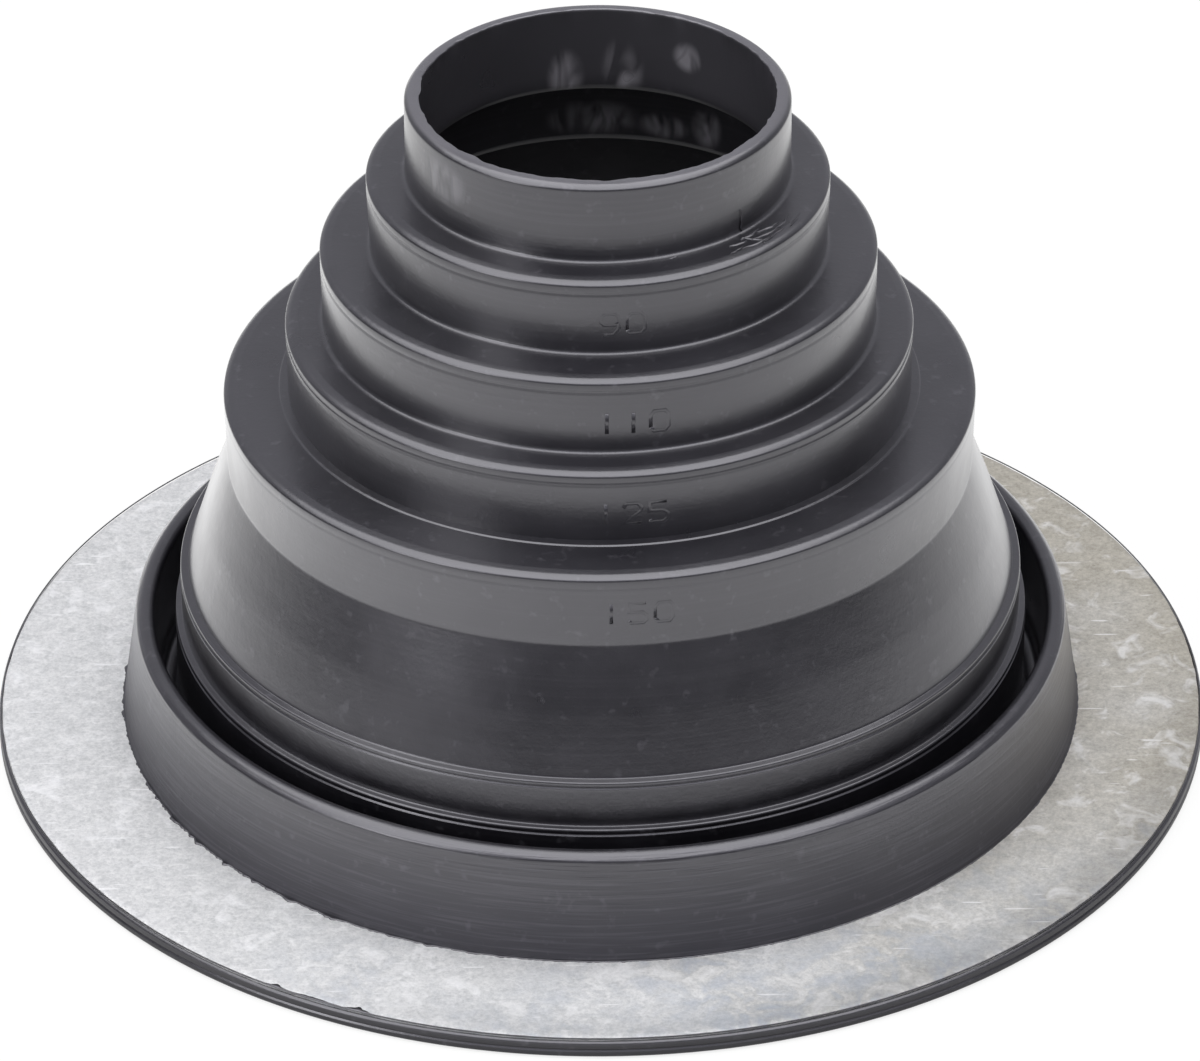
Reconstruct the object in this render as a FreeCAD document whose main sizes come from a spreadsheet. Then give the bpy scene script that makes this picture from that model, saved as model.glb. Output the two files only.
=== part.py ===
# Pipe flashing boot: one EPDM rubber moulding, with a flat aluminium ring set into its flange.
# Millimetres, +Z up. The boot's axis is Z, and the tips of the ribs under its flange lie on Z = 0.
import FreeCAD, Part
import os
import Sketcher

document = FreeCAD.newDocument("PipeFlashingBoot")


# ---------------------------------------------------------------- driving sizes

SIZES = {
    # Flange: rubber backing with ribs below and the aluminium ring let into its top.
    "rib_height": 1.0,
    "rib_width": 1.8,
    "rib_pitch": 5.6,
    "edge_rib_width": 3.0,
    "backing_thickness": 2.0,
    "flange_width": 25.6,
    "edge_margin": 0.8,
    "edge_drop": 0.2,
    "parting_groove_depth": 0.35,
    "parting_groove_width": 0.7,
    "sheet_thickness": 1.0,
    "sheet_embed": 1.2,
    "sheet_clearance": 0.05,
    # Fold: a standing collar, a moat behind it and a bend under the moat.
    "collar_height": 22.3,
    "collar_flare": 3.3,
    "collar_wall": 1.8,
    "collar_root_wall": 3.4,
    "collar_roof": 2.4,
    "collar_chamfer": 1.0,
    "fold_gap": 0.4,
    "fold_wall": 1.5,
    "moat_width": 4.3,
    "bend_height": 3.0,
    "bend_thickness": 2.2,
    "moat_chamfer": 1.7,
    "bend_chamfer": 2.4,
    # Stepped cone, from the rim down. Each ledge is the flat that a step stands out by.
    "sleeve_diameter": 75.5,
    "sleeve_wall": 2.75,
    "sleeve_height": 16.9,
    "sleeve_flare": 0.45,
    "ledge_90": 7.75,
    "ledge_110": 9.5,
    "ledge_125": 7.3,
    "ledge_150": 12.7,
    "step_90_height": 16.0,
    "step_110_height": 16.2,
    "step_125_height": 15.4,
    "step_150_height": 15.6,
    "step_wall": 2.1,
    "step_flare": 0.4,
    "ledge_thickness": 1.8,
    "ledge_edge_chamfer": 0.7,
    "inside_chamfer": 2.6,
    "trim_groove_drop": 2.7,
    "trim_groove_width": 0.9,
    "trim_groove_depth": 0.4,
    "lip_stand_out": 0.2,
    # Skirt below the steps, with two narrow ledges at its foot.
    "skirt_height": 24.8,
    "skirt_flare": 8.6,
    "skirt_wall": 2.6,
    "shoulder_ledge": 1.6,
    "shoulder_height": 9.9,
    "heel_ledge": 1.4,
    "heel_height": 22.9,
    "fine_groove_drop": 1.4,
    "fine_groove_width": 0.5,
    "fine_groove_depth": 0.2,
}

RIB_COUNT = 4

sheet = document.addObject("Spreadsheet::Sheet", "Sizes")
for row, (alias, number) in enumerate(SIZES.items(), start=1):
    sheet.set(f"A{row}", alias)
    sheet.set(f"B{row}", str(number))
    sheet.setAlias(f"B{row}", alias)
document.recompute()


# ---------------------------------------------------------------- lengths bound to the sheet


class Length:
    """A length worked out from the sheet: its number now and the expression that keeps it bound."""

    def __init__(self, number, expression):
        self.number = number
        self.expression = expression

    def __add__(self, other):
        return Length(self.number + other.number, f"({self.expression} + {other.expression})")

    def __sub__(self, other):
        return Length(self.number - other.number, f"({self.expression} - {other.expression})")

    def __mul__(self, factor):
        return Length(self.number * factor, f"({self.expression} * {factor})")

    def half(self):
        return Length(self.number / 2, f"({self.expression} / 2)")


def size(alias):
    """The length that a cell of the sheet holds."""
    return Length(SIZES[alias], f"Sizes.{alias}")


ZERO = Length(0.0, "0")


# ---------------------------------------------------------------- levels and radii that pieces share

# Levels, from the tips of the ribs up to the rim.
backing_bottom = size("rib_height")
backing_top = backing_bottom + size("backing_thickness")
sheet_top = backing_top + size("sheet_thickness")
collar_top = sheet_top + size("collar_height")
heel_level = sheet_top + size("heel_height")
shoulder_level = heel_level + size("shoulder_height")
waist_level = shoulder_level + size("skirt_height")
level_150 = waist_level + size("step_150_height")
level_125 = level_150 + size("step_125_height")
level_110 = level_125 + size("step_110_height")
level_90 = level_110 + size("step_90_height")
rim_level = level_90 + size("sleeve_height")

# Radii of the outside, from the rim out to the flange's edge.
sleeve_radius = size("sleeve_diameter").half()
radius_90 = sleeve_radius + size("ledge_90")
radius_110 = radius_90 + size("ledge_110")
radius_125 = radius_110 + size("ledge_125")
radius_150 = radius_125 + size("ledge_150")
waist_radius = radius_150 - size("lip_stand_out")
skirt_foot_radius = waist_radius + size("skirt_flare")
shoulder_radius = skirt_foot_radius + size("shoulder_ledge")
heel_radius = shoulder_radius + size("heel_ledge")
moat_outer_radius = heel_radius + size("moat_width")
collar_radius = moat_outer_radius + size("fold_wall") + size("fold_gap") + size("collar_wall")
collar_foot_radius = collar_radius + size("collar_flare")
flange_radius = collar_foot_radius + size("flange_width")

# Radii of the walls inside.
sleeve_bore = sleeve_radius - size("sleeve_wall")
bore_90 = radius_90 - size("step_wall")
bore_110 = radius_110 - size("step_wall")
bore_125 = radius_125 - size("step_wall")
bore_150 = radius_150 - size("step_wall")
shoulder_bore = shoulder_radius - size("skirt_wall")
heel_bore = heel_radius - size("skirt_wall")

# The aluminium ring: its hole ends inside the collar's root, its edge short of the rubber's.
sheet_hole_radius = collar_foot_radius - size("sheet_embed")
sheet_radius = flange_radius - size("edge_margin")


# ---------------------------------------------------------------- how features are made


def origin_feature(body, role):
    """The plane or axis of a body's own origin that has this role."""
    return next(item for item in body.Origin.OriginFeatures if item.Role == role)


def tie(sketch, direction, line, length):
    """Hold a line's first point at a bound distance from the origin, or on the axis if that is 0."""
    if length.number == 0:
        axis = -2 if direction == "DistanceX" else -1
        sketch.addConstraint(Sketcher.Constraint("PointOnObject", line, 1, axis))
        return
    place = Sketcher.Constraint(direction, -1, 1, line, 1, length.number)
    index = sketch.addConstraint(place)
    sketch.setExpression(f"Constraints[{index}]", length.expression)


def half_section(body, name, corners):
    """A closed outline of straight lines on the body's XZ plane, through (radius, level) corners."""
    sketch = body.newObject("Sketcher::SketchObject", name)
    sketch.AttachmentSupport = [(origin_feature(body, "XZ_Plane"), "")]
    sketch.MapMode = "FlatFace"
    count = len(corners)
    points = [FreeCAD.Vector(radius.number, level.number, 0) for radius, level in corners]
    for line in range(count):
        sketch.addGeometry(Part.LineSegment(points[line], points[(line + 1) % count]), False)
    for line in range(count):
        sketch.addConstraint(Sketcher.Constraint("Coincident", line, 2, (line + 1) % count, 1))
    for line, (radius, level) in enumerate(corners):
        tie(sketch, "DistanceX", line, radius)
        tie(sketch, "DistanceY", line, level)
    return sketch


def revolve(body, kind, name, corners):
    """Turn a half section once around Z, as a PartDesign Revolution or Groove."""
    volume_before = body.Shape.Volume if body.Tip else 0.0
    sketch = half_section(body, name + "_section", corners)
    feature = body.newObject("PartDesign::" + kind, name)
    feature.Profile = sketch
    feature.ReferenceAxis = (sketch, ["V_Axis"])
    feature.Angle = 360
    document.recompute()
    change = body.Shape.Volume - volume_before
    if (kind == "Revolution") != (change > 0):
        raise RuntimeError(f"{name} changed the volume of {body.Label} by {change:.1f} mm3")


def rims_at(shape, places):
    """Names of a shape's circular edges around Z that have these (radius, level) places."""
    names = []
    for radius, level in places:
        for number, edge in enumerate(shape.Edges, start=1):
            circle = edge.Curve
            if not isinstance(circle, Part.Circle):
                continue
            same_radius = abs(circle.Radius - radius.number) < 1e-4
            same_level = abs(circle.Center.z - level.number) < 1e-4
            if same_radius and same_level:
                names.append(f"Edge{number}")
                break
        else:
            raise RuntimeError(f"no edge at radius {radius.number:.3f}, level {level.number:.3f}")
    return names


def bevel_edges(body, name, alias, places):
    """Chamfer the circular edges at these places by the size in one cell of the sheet."""
    base = body.Tip
    chamfer = body.newObject("PartDesign::Chamfer", name)
    chamfer.Base = (base, rims_at(base.Shape, places))
    chamfer.setExpression("Size", size(alias).expression)
    document.recompute()
    if chamfer.Shape.isNull() or not chamfer.Shape.isValid():
        raise RuntimeError(f"{name} could not bevel its edges")


# ---------------------------------------------------------------- EPDM boot

boot = document.addObject("PartDesign::Body", "Boot")
boot.Label = "epdm_boot"


def grooved_edge(radius, level, groove):
    """A ledge's outer edge with the groove that circles the wall below it, down to the wall's top."""
    half_width = size(groove + "_groove_width").half()
    groove_level = level - size(groove + "_groove_drop")
    return [
        (radius, level),
        (radius, groove_level + half_width),
        (radius - size(groove + "_groove_depth"), groove_level),
        (radius - size("lip_stand_out"), groove_level - half_width),
    ]


def sleeve_and_steps():
    """The outside from the rim down to the waist: each wall flares a little towards its ledge."""
    return [
        (sleeve_radius, rim_level),
        (sleeve_radius + size("sleeve_flare"), level_90),
        *grooved_edge(radius_90, level_90, "trim"),
        (radius_90 + size("step_flare"), level_110),
        *grooved_edge(radius_110, level_110, "trim"),
        (radius_110 + size("step_flare"), level_125),
        *grooved_edge(radius_125, level_125, "trim"),
        (radius_125 + size("step_flare"), level_150),
        *grooved_edge(radius_150, level_150, "fine"),
        (waist_radius, waist_level),
    ]


def skirt_and_foot():
    """The outside from the waist down to the heel's ledge."""
    return [
        (skirt_foot_radius, shoulder_level),
        (shoulder_radius, shoulder_level),
        (shoulder_radius, heel_level),
        (heel_radius, heel_level),
    ]


def collar_and_flange():
    """The outside from the moat over the collar to the flange's edge and under it."""
    groove_level = backing_top.half()
    half_width = size("parting_groove_width").half()
    edge_level = sheet_top - size("edge_drop")
    return [
        (moat_outer_radius, moat_floor),
        (moat_outer_radius, collar_top),
        (collar_radius, collar_top),
        (collar_foot_radius, sheet_top),
        (sheet_radius + size("sheet_clearance"), sheet_top),
        (sheet_radius + size("sheet_clearance"), edge_level),
        (flange_radius, edge_level),
        (flange_radius, groove_level + half_width),
        (flange_radius - size("parting_groove_depth"), groove_level),
        (flange_radius, groove_level - half_width),
        (flange_radius, ZERO),
    ]


# The outside turned as one solid blank, with the moat already between the heel and the collar.
moat_floor = size("bend_height") + size("bend_thickness")
blank_corners = [
    (ZERO, rim_level),
    *sleeve_and_steps(),
    *skirt_and_foot(),
    (heel_radius, moat_floor),
    *collar_and_flange(),
    (ZERO, ZERO),
]
revolve(boot, "Revolution", "outside", blank_corners)

# The inside: a bore for each step, the skirt's cone, the bend under the moat and the open fold.
ledge_under = size("ledge_thickness")
collar_inside = collar_top - size("collar_roof")
inner_leg_radius = moat_outer_radius + size("fold_wall")
inside_corners = [
    (ZERO, rim_level),
    (sleeve_bore, rim_level),
    (sleeve_bore, level_90 - ledge_under),
    (bore_90, level_90 - ledge_under),
    (bore_90, level_110 - ledge_under),
    (bore_110, level_110 - ledge_under),
    (bore_110, level_125 - ledge_under),
    (bore_125, level_125 - ledge_under),
    (bore_125, level_150 - ledge_under),
    (bore_150, level_150 - ledge_under),
    (bore_150, waist_level - ledge_under.half()),
    (skirt_foot_radius - size("skirt_wall"), shoulder_level - ledge_under),
    (shoulder_bore, shoulder_level - ledge_under),
    (shoulder_bore, heel_level - ledge_under),
    (heel_bore, heel_level - ledge_under),
    (heel_bore, size("bend_height")),
    (inner_leg_radius, size("bend_height")),
    (inner_leg_radius, collar_inside),
    (inner_leg_radius + size("fold_gap"), collar_inside),
    (collar_foot_radius - size("collar_root_wall"), sheet_top),
    (collar_foot_radius - size("collar_root_wall"), ZERO),
    (ZERO, ZERO),
]
revolve(boot, "Groove", "inside", inside_corners)

# The channels that leave concentric sealing ribs under the flange.
rib_outer = flange_radius - size("edge_rib_width")
for number in range(RIB_COUNT):
    rib_inner = flange_radius - size("rib_pitch") * (number + 1)
    channel_corners = [
        (rib_inner + size("rib_width").half(), ZERO),
        (rib_outer, ZERO),
        (rib_outer, backing_bottom),
        (rib_inner + size("rib_width").half(), backing_bottom),
    ]
    revolve(boot, "Groove", f"channel_{number + 1}", channel_corners)
    rib_outer = rib_inner - size("rib_width").half()

# The recess that the aluminium ring lies in. Its inner end runs under the collar's root.
recess_corners = [
    (sheet_hole_radius - size("sheet_clearance"), backing_top),
    (sheet_radius + size("sheet_clearance"), backing_top),
    (sheet_radius + size("sheet_clearance"), sheet_top),
    (sheet_hole_radius - size("sheet_clearance"), sheet_top),
]
revolve(boot, "Groove", "ring_recess", recess_corners)

# Bevels: the steps' ledges outside and in, the collar's top, and the moat and the bend below it.
bevel_edges(
    boot,
    "ledge_edges",
    "ledge_edge_chamfer",
    [
        (radius_90, level_90),
        (radius_110, level_110),
        (radius_125, level_125),
        (radius_150, level_150),
    ],
)
bevel_edges(
    boot,
    "bore_ends",
    "inside_chamfer",
    [
        (sleeve_bore, level_90 - ledge_under),
        (bore_90, level_110 - ledge_under),
        (bore_110, level_125 - ledge_under),
        (bore_125, level_150 - ledge_under),
    ],
)
bevel_edges(
    boot,
    "collar_edges",
    "collar_chamfer",
    [
        (moat_outer_radius, collar_top),
        (collar_radius, collar_top),
    ],
)
bevel_edges(
    boot,
    "moat_corners",
    "moat_chamfer",
    [
        (heel_radius, moat_floor),
        (moat_outer_radius, moat_floor),
    ],
)
bevel_edges(
    boot,
    "bend_corners",
    "bend_chamfer",
    [
        (heel_bore, size("bend_height")),
        (inner_leg_radius, size("bend_height")),
    ],
)


# ---------------------------------------------------------------- aluminium flange ring

ring = document.addObject("PartDesign::Body", "FlangeRing")
ring.Label = "aluminium_flange_ring"

ring_corners = [
    (sheet_hole_radius, backing_top),
    (sheet_radius, backing_top),
    (sheet_radius, sheet_top),
    (sheet_hole_radius, sheet_top),
]
revolve(ring, "Revolution", "punched_sheet", ring_corners)


# ---------------------------------------------------------------- check and export

PIECES = [boot, ring]

document.recompute()
for item in document.Objects:
    if "Invalid" in item.State or "Error" in item.State:
        raise RuntimeError(f"{item.Label} failed: {item.State}")
for piece in PIECES:
    if piece.Shape.isNull() or not piece.Shape.isValid():
        raise RuntimeError(f"{piece.Label} has no valid shape")
    if len(piece.Shape.Solids) != 1:
        raise RuntimeError(f"{piece.Label} is not one solid")

os.makedirs("parts", exist_ok=True)
for piece in PIECES:
    piece.Shape.exportStep(f"parts/{piece.Label}.step")
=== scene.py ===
import math
import bpy
from mathutils import Matrix, Vector, noise


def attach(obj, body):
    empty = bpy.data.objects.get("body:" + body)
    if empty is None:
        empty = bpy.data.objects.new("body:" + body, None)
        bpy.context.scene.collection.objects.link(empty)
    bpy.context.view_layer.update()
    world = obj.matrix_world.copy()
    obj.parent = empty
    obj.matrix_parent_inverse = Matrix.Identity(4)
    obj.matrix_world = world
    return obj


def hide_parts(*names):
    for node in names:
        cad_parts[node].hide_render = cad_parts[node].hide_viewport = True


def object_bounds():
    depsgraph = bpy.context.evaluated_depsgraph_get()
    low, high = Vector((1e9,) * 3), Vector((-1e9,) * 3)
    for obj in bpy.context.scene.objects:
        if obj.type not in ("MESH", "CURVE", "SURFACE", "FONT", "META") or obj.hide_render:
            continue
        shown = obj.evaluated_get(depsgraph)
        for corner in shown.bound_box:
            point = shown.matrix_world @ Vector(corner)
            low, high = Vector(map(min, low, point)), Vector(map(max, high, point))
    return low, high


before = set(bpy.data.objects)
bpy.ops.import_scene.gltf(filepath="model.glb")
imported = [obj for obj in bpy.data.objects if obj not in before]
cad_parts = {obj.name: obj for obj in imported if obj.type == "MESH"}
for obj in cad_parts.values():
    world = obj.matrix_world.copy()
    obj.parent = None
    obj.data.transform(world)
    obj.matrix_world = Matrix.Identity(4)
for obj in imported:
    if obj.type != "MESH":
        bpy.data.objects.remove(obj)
cad_low, cad_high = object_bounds()


# ---------------------------------------------------------------- EPDM boot
# One compression-moulded piece of black EPDM rubber: a trimmed sleeve, four pipe steps, a skirt,
# a folded collar and the flange that the metal ring lies in. The wall is turned once round Z.

# Sizes are in mm, turned to metres by MM where a mesh or a pattern is made.
MM = 0.001
TAU = 2 * math.pi
TURNS = 224
SHARP_ANGLE = math.radians(50)

RIM_LEVEL = cad_high.z / MM
FLANGE_RADIUS = cad_high.x / MM
SLEEVE_RADIUS = 37.75
SLEEVE_FOOT = 37.8
SLEEVE_WALL = 2.9
RIM_BEVEL = 1.0
RIM_BEVEL_DROP = 1.3

# Each step: the radius and level of its ledge's edge, the radius where its wall ends below, the
# bevel of its edge, and the depth of the cutting line under it.
STEPS = [
    (45.5, 124.8, 45.0, 1.0, 0.13),
    (55.0, 108.8, 54.8, 1.0, 0.13),
    (62.3, 92.6, 62.1, 1.0, 0.13),
    (75.0, 77.2, 74.6, 1.1, 0.06),
]
# An edge's round starts this many bevels in from it.
LIP_REACH = 2.5
LIP_DROP = 0.95
CUTTING_LINE_DROP = 2.75
CUTTING_LINE_REACH = 0.55
BEADED_STEP = 2
BEAD_RADIUS = 64.0
BEAD_RISE = 0.25
WAIST_LEVEL = 61.6

# The skirt's two straight runs meet at this corner, which is turned by an arc of 60 mm.
SKIRT_BELLY = (79.3, 49.0, 60.0)
SKIRT_FOOT = 83.4
SHOULDER_RADIUS = 85.0
SHOULDER_LEVEL = 36.8
HEEL_RADIUS = 86.4
HEEL_LEVEL = 26.9
GROOVE_DROP = 1.2
GROOVE_DEPTH = 0.3
GROOVE_REACH = 0.25
MOAT_RADIUS = 90.7
MOAT_FLOOR = 5.2
COLLAR_TOP = 26.3
COLLAR_RADIUS = 94.4
COLLAR_BULGE = 0.15
COLLAR_BEVEL = 1.3
COLLAR_BEVEL_DROP = 1.2
COLLAR_FOOT = 97.7
SHEET_TOP = 4.0
SHEET_SEAT = 3.0
SHEET_TUCK = 0.6
RING_RADIUS = 122.5
RING_LIP = 0.15
SEAM_LEVEL = 1.6
SEAM_DEPTH = 0.4
SEAM_REACH = 0.35

# Inside and under the boot: the bores from the widest step up to the sleeve, the thickness of its
# walls, the hollow of the folded collar, and the sealing ribs.
BORES = [72.9, 60.2, 52.9, 43.4, SLEEVE_RADIUS - SLEEVE_WALL]
LEDGE_WALL = 1.8
SKIRT_WALL = 2.6
FOLD_WALL = 1.5
FOLD_ROOF = 2.4
FOLD_ROOF_WIDTH = 0.4
COLLAR_ROOT = 3.4
BEND_LEVEL = 3.0
EDGE_RIB = 3.0
RIB_WIDTH = 1.8
RIB_PITCH = 5.6
RIB_COUNT = 4
RIB_DEPTH = 1.0

# How an outline is cut into points: the longest run between two, the shortest run that is cut, how
# close to a round a long run gets a point, and the turn in radians of one step of a round.
LONGEST_RUN = 5.0
SHORTEST_CUT_RUN = 1.2
GUARD = 0.3
SMALL_ROUND = 0.3
SMALL_ROUND_STEP = 0.8
ROUND_STEP = 0.5


def rounded(corners):
    """Points (radius, level) of a closed outline. Each corner (radius, level, round) is turned by
    an arc, and long straight runs get points along them and next to their arcs."""
    points = []
    count = len(corners)
    for i, (radius, level, turn) in enumerate(corners):
        here = Vector((radius, level))
        back = (Vector(corners[i - 1][:2]) - here).normalized()
        ahead = (Vector(corners[(i + 1) % count][:2]) - here).normalized()
        if turn == 0:
            points.append((here, False))
            continue
        angle = back.angle(ahead)
        inset = turn / math.tan(angle / 2)
        middle = here + (back + ahead).normalized() * turn / math.sin(angle / 2)
        first = here + back * inset - middle
        last = here + ahead * inset - middle
        sweep = first.angle_signed(last)
        step = SMALL_ROUND_STEP if turn <= SMALL_ROUND else ROUND_STEP
        parts = max(2, round(abs(sweep) / step))
        for k in range(parts + 1):
            spot = middle + Matrix.Rotation(-sweep * k / parts, 2) @ first
            points.append((spot, k == parts or k == 0))
    outline = []
    for i, (here, tangent) in enumerate(points):
        ahead, ahead_tangent = points[(i + 1) % len(points)]
        outline.append(here)
        run = ahead - here
        if run.length < SHORTEST_CUT_RUN:
            continue
        parts = math.ceil(run.length / LONGEST_RUN)
        cuts = [k / parts for k in range(1, parts)]
        if tangent:
            cuts.insert(0, GUARD / run.length)
        if ahead_tangent:
            cuts.append(1 - GUARD / run.length)
        outline += [here + run * share for share in cuts]
    return [(p.x, p.y) for p in outline]


def lip(radius, level, bevel, line_depth):
    """A ledge's soft bevelled edge, and under it the shallow line that a fitter cuts along."""
    return [
        (radius - LIP_REACH * bevel, level, 2.0),
        (radius - bevel, level - 0.2, 1.3),
        (radius, level - LIP_DROP, 0.5),
        (radius - 0.02, level - CUTTING_LINE_DROP + CUTTING_LINE_REACH, 0.8),
        (radius - line_depth, level - CUTTING_LINE_DROP, 0.25),
        (radius - 0.02, level - CUTTING_LINE_DROP - CUTTING_LINE_REACH, 0.8),
    ]


def bead(foot, level):
    """A low bead round the foot of a wall, with a sharp crease where the two meet."""
    return [
        (foot, level + BEAD_RISE + 0.1, 0),
        (BEAD_RADIUS - 0.25, level + BEAD_RISE, 0.1),
        (BEAD_RADIUS, level, 0.08),
    ]


def grooved_edge(radius, level):
    """The edge of a small ledge, with a fine groove close under it."""
    return [
        (radius, level, 0.4),
        (radius - 0.05, level - GROOVE_DROP + GROOVE_REACH, 0.08),
        (radius - GROOVE_DEPTH, level - GROOVE_DROP, 0.08),
        (radius + 0.05, level - GROOVE_DROP - GROOVE_REACH - 0.05, 0.15),
    ]


def outside():
    """From the rim's inner edge down over the steps, skirt, moat and collar to the flange's edge."""
    corners = [
        (SLEEVE_RADIUS - SLEEVE_WALL, RIM_LEVEL, 0.3),
        (SLEEVE_RADIUS - RIM_BEVEL, RIM_LEVEL, 1.0),
        (SLEEVE_RADIUS, RIM_LEVEL - RIM_BEVEL_DROP, 0.8),
        (SLEEVE_FOOT, STEPS[0][1], 0.8),
    ]
    foot_levels = [step[1] for step in STEPS[1:]] + [WAIST_LEVEL]
    for i, (radius, level, foot, bevel, line_depth) in enumerate(STEPS):
        corners += lip(radius, level, bevel, line_depth)
        if i == BEADED_STEP:
            corners += bead(foot, foot_levels[i])
        else:
            corners.append((foot, foot_levels[i], 1.2 if foot_levels[i] == WAIST_LEVEL else 0.8))
    corners += [SKIRT_BELLY, (SKIRT_FOOT, SHOULDER_LEVEL, 0.25)]
    corners += grooved_edge(SHOULDER_RADIUS, SHOULDER_LEVEL)
    corners.append((SHOULDER_RADIUS, HEEL_LEVEL, 0.25))
    corners += grooved_edge(HEEL_RADIUS, HEEL_LEVEL)
    corners += [
        (HEEL_RADIUS, MOAT_FLOOR, 1.7),
        (MOAT_RADIUS, MOAT_FLOOR, 1.7),
        (MOAT_RADIUS, COLLAR_TOP, 1.6),
        (COLLAR_RADIUS - COLLAR_BEVEL, COLLAR_TOP, 1.6),
        (COLLAR_RADIUS + COLLAR_BULGE, COLLAR_TOP - COLLAR_BEVEL_DROP, 0.9),
        (COLLAR_FOOT, SHEET_TOP, 0),
        (COLLAR_FOOT - SHEET_TUCK, SHEET_TOP - 0.1, 0),
        (COLLAR_FOOT - SHEET_TUCK, SHEET_SEAT, 0),
        (RING_RADIUS + RING_LIP, SHEET_SEAT, 0),
        (RING_RADIUS + RING_LIP, SHEET_TOP - 0.5, 0.05),
    ]
    # The flange's edge, with the fine seam where the mould's two halves met.
    corners += [
        (FLANGE_RADIUS - 0.05, SHEET_TOP - 0.95, 0.3),
        (FLANGE_RADIUS - 0.1, SEAM_LEVEL + SEAM_REACH, 0.15),
        (FLANGE_RADIUS - SEAM_DEPTH, SEAM_LEVEL, 0.1),
        (FLANGE_RADIUS - 0.05, SEAM_LEVEL - SEAM_REACH, 0.15),
        (FLANGE_RADIUS, 0.0, 0.6),
    ]
    return corners


def underside():
    """The sealing ribs under the flange, the open fold and the bend, then the bores up to the rim."""
    corners = []
    groove_outer = FLANGE_RADIUS - EDGE_RIB
    for rib in range(1, RIB_COUNT + 1):
        rib_middle = FLANGE_RADIUS - RIB_PITCH * rib
        groove_inner = rib_middle + RIB_WIDTH / 2
        corners += [
            (groove_outer, 0.0, 0.3),
            (groove_outer, RIB_DEPTH, 0.2),
            (groove_inner, RIB_DEPTH, 0.2),
            (groove_inner, 0.0, 0.3),
        ]
        groove_outer = rib_middle - RIB_WIDTH / 2
    corners += [
        (COLLAR_FOOT - COLLAR_ROOT, 0.0, 0.4),
        (COLLAR_FOOT - COLLAR_ROOT, SHEET_TOP, 0),
        (MOAT_RADIUS + FOLD_WALL + FOLD_ROOF_WIDTH, COLLAR_TOP - FOLD_ROOF, 0),
        (MOAT_RADIUS + FOLD_WALL, COLLAR_TOP - FOLD_ROOF, 0),
        (MOAT_RADIUS + FOLD_WALL, BEND_LEVEL, 2.0),
        (HEEL_RADIUS - SKIRT_WALL, BEND_LEVEL, 2.0),
        (HEEL_RADIUS - SKIRT_WALL, HEEL_LEVEL - LEDGE_WALL, 0.8),
        (SHOULDER_RADIUS - SKIRT_WALL, HEEL_LEVEL - LEDGE_WALL, 0.5),
        (SHOULDER_RADIUS - SKIRT_WALL, SHOULDER_LEVEL - LEDGE_WALL, 0.6),
        (SKIRT_FOOT - SKIRT_WALL, SHOULDER_LEVEL - LEDGE_WALL, 0.5),
        (BORES[0], WAIST_LEVEL - LEDGE_WALL / 2, 2.0),
    ]
    ceilings = [step[1] - LEDGE_WALL for step in reversed(STEPS)]
    for wide, narrow, ceiling in zip(BORES, BORES[1:], ceilings):
        corners += [(wide, ceiling, 0.8), (narrow, ceiling, 1.6)]
    return corners


# A ripple is given by its height, its length and a seed. These move the wall and bite the cut rim.
RIPPLE_RADIUS = 60.0
WALL_RIPPLES = [(0.14, 45.0, 3.0), (0.035, 11.0, 7.0)]
RIM_BITES = [(0.42, 5.0, 11.0), (0.26, 2.2, 17.0)]
RIM_BURRS = [(1.1, 9.0, 23.0)]
RIM_BURRS_FROM = 0.275
RIM_CUT_DEPTH = 1.2
RIM_DROP = 0.18
RIM_DROP_RIPPLES = [(0.18, 30.0, 5.0)]
RIM_FRONT_DIP = 0.3
# The sheet and the roof keep the boot true below this level and beyond this radius.
TRUE_BELOW = 5.0
TRUE_BEYOND = 96.5


def ripple(angle, level, length, seed):
    """A smooth value from -1 to 1 that changes over about `length` mm round the boot and up it."""
    radius = RIPPLE_RADIUS / length
    spot = Vector((math.cos(angle) * radius, math.sin(angle) * radius, level / length + seed))
    return noise.noise(spot)


def rippled(ripples, angle, level):
    """The sum of several ripples in mm."""
    return sum(height * ripple(angle, level, length, seed) for height, length, seed in ripples)


def moulded(radius, level, angle):
    """How a point of the true outline sits in the soft piece: the wall wanders a little, and the
    rim, cut by hand, has a ragged inner edge and dips a little at the front."""
    held = level < TRUE_BELOW or radius > TRUE_BEYOND
    wander = 0.0 if held else rippled(WALL_RIPPLES, angle, level)
    at_rim = max(0.0, min(1.0, (level - RIM_LEVEL + RIM_CUT_DEPTH) / RIM_CUT_DEPTH))
    if at_rim == 0:
        return radius + wander, level
    if radius < SLEEVE_RADIUS - SLEEVE_WALL / 2:
        burr = max(0.0, rippled(RIM_BURRS, angle, 0.0) - RIM_BURRS_FROM)
        wander += at_rim * (rippled(RIM_BITES, angle, 0.0) - burr)
    dip = -RIM_FRONT_DIP * min(0.0, math.sin(angle))
    drop = RIM_DROP + rippled(RIM_DROP_RIPPLES, angle, 0.0) + dip
    return radius + wander, level - drop * at_rim


def spot_at(radius, angle, level):
    """A point in metres from a radius and a level in mm and an angle round Z."""
    return (radius * math.cos(angle) * MM, radius * math.sin(angle) * MM, level * MM)


def smooth_piece(name, points, faces):
    """A smoothly shaded object in the scene from mesh points and faces."""
    mesh = bpy.data.meshes.new(name)
    mesh.from_pydata(points, [], faces)
    mesh.shade_smooth()
    piece = bpy.data.objects.new(name, mesh)
    bpy.context.scene.collection.objects.link(piece)
    return piece


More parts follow.
